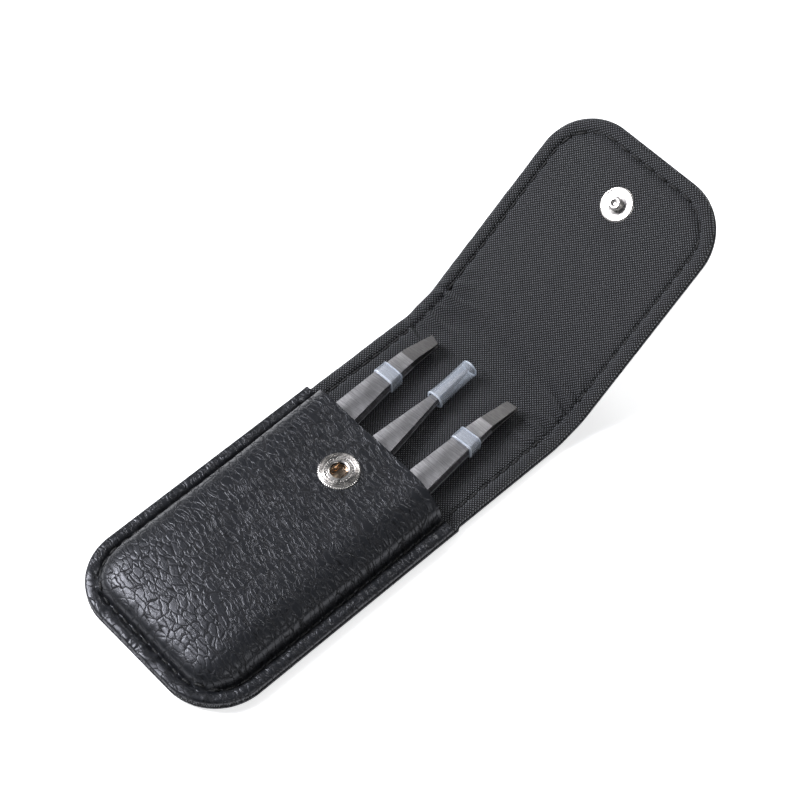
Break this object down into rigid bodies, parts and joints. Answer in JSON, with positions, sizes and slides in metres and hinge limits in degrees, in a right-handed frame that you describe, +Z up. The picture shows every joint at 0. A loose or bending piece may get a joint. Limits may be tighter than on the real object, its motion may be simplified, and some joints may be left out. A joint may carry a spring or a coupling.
{
  "type": "precision tweezers set in a snap pouch",
  "caption": "Snap-closed leather-look pouch with a fold-over flap, holding slant-tip, flat-tip and pointed precision tweezers with silicone tip guards.",
  "frame": {"origin": "middle of the back panel's flat underside", "axes": "+Y along the pouch towards the flap, +X across it to the right, +Z up out of the back panel"},
  "size_m": [0.0552, 0.1725, 0.0397],
  "materials": {
    "leather": "pebbled black faux leather, semi-gloss",
    "board": "grey stiffener board, matt",
    "nylon": "black woven nylon, satin",
    "thread": "black polyester thread, slight gloss",
    "nickel": "nickel-plated, polished",
    "steel": "brushed stainless steel",
    "silicone": "translucent clear silicone, satin"
  },
  "bodies": {
    "case": {"back_cover": "leather", "back_board": "board", "back_lining": "nylon", "pocket_front": "leather", "pocket_lining": "nylon", "pocket_thread": "thread", "back_thread": "thread", "snap_socket": "nickel", "snap_spring_wires": "nickel", "snap_rivet": "nickel"},
    "spine": {"spine_cover": "leather", "spine_lining": "nylon"},
    "flap": {"flap_cover": "leather", "flap_board": "board", "flap_lining": "nylon", "flap_thread": "thread", "snap_stud": "nickel", "snap_cap": "nickel"},
    "left_tweezer": {"left_tweezer_tail": "steel"},
    "left_upper_arm": {"left_tweezer_upper_arm": "steel"},
    "left_lower_arm": {"left_tweezer_lower_arm": "steel"},
    "middle_tweezer": {"middle_tweezer_tail": "steel"},
    "middle_upper_arm": {"middle_tweezer_upper_arm": "steel"},
    "middle_lower_arm": {"middle_tweezer_lower_arm": "steel"},
    "right_tweezer": {"right_tweezer_tail": "steel"},
    "right_upper_arm": {"right_tweezer_upper_arm": "steel"},
    "right_lower_arm": {"right_tweezer_lower_arm": "steel"},
    "left_band": {"left_band": "silicone"},
    "right_band": {"right_band": "silicone"},
    "tip_cap": {"tip_cap": "silicone"}
  },
  "joints": [
    {"name": "spine_fold", "type": "hinge", "parent": "case", "child": "spine", "pos_m": [0, 0.0559, 0.002], "axis": [1, 0, 0], "range_deg": [-16.5, 72.75]},
    {"name": "flap_fold", "type": "hinge", "parent": "spine", "child": "flap", "pos_m": [0, 0.06416, 0.00457], "axis": [1, 0, 0], "range_deg": [-16.5, 72.75]},
    {"name": "left_slide", "type": "slide", "parent": "case", "child": "left_tweezer", "axis": [0.0785, -0.9969, 0], "range_m": [-0.006, 0.003]},
    {"name": "left_squeeze", "type": "hinge", "parent": "left_tweezer", "child": "left_upper_arm", "pos_m": [-0.00945, -0.02894, 0.00495], "axis": [-0.9969, -0.0785, 0], "range_deg": [0, 0.17], "stiffness_Nm_per_rad": 1},
    {"name": "left_squeeze_lower", "type": "hinge", "parent": "left_tweezer", "child": "left_lower_arm", "pos_m": [-0.00945, -0.02894, 0.00495], "axis": [0.9969, 0.0785, 0], "range_deg": [0, 0.17], "stiffness_Nm_per_rad": 1},
    {"name": "middle_slide", "type": "slide", "parent": "case", "child": "middle_tweezer", "axis": [0.0715, -0.9974, 0], "range_m": [-0.0018, 0.003]},
    {"name": "middle_squeeze", "type": "hinge", "parent": "middle_tweezer", "child": "middle_upper_arm", "pos_m": [0.00315, -0.02897, 0.00495], "axis": [-0.9974, -0.0715, 0], "range_deg": [0, 0.12], "stiffness_Nm_per_rad": 1},
    {"name": "middle_squeeze_lower", "type": "hinge", "parent": "middle_tweezer", "child": "middle_lower_arm", "pos_m": [0.00315, -0.02897, 0.00495], "axis": [0.9974, 0.0715, 0], "range_deg": [0, 0.12], "stiffness_Nm_per_rad": 1},
    {"name": "right_slide", "type": "slide", "parent": "case", "child": "right_tweezer", "axis": [0.0471, -0.9989, 0], "range_m": [-0.006, 0.003]},
    {"name": "right_squeeze", "type": "hinge", "parent": "right_tweezer", "child": "right_upper_arm", "pos_m": [0.01555, -0.02904, 0.00495], "axis": [-0.9989, -0.0471, 0], "range_deg": [0, 0.17], "stiffness_Nm_per_rad": 1},
    {"name": "right_squeeze_lower", "type": "hinge", "parent": "right_tweezer", "child": "right_lower_arm", "pos_m": [0.01555, -0.02904, 0.00495], "axis": [0.9989, 0.0471, 0], "range_deg": [0, 0.17], "stiffness_Nm_per_rad": 1},
    {"name": "left_band_slide", "type": "slide", "parent": "left_tweezer", "child": "left_band", "axis": [0.0784, -0.9966, -0.0262], "range_m": [-0.0165, 0]},
    {"name": "right_band_slide", "type": "slide", "parent": "right_tweezer", "child": "right_band", "axis": [0.0471, -0.9985, -0.0262], "range_m": [-0.0165, 0]},
    {"name": "tip_cap_slide", "type": "slide", "parent": "middle_tweezer", "child": "tip_cap", "axis": [0.0715, -0.9971, -0.0262], "range_m": [-0.0022, 0]}
  ],
  "couplings": [
    {"joint": "flap_fold", "follows": "spine_fold", "ratio": 1},
    {"joint": "left_squeeze_lower", "follows": "left_squeeze", "ratio": 1},
    {"joint": "middle_squeeze_lower", "follows": "middle_squeeze", "ratio": 1},
    {"joint": "right_squeeze_lower", "follows": "right_squeeze", "ratio": 1}
  ]
}
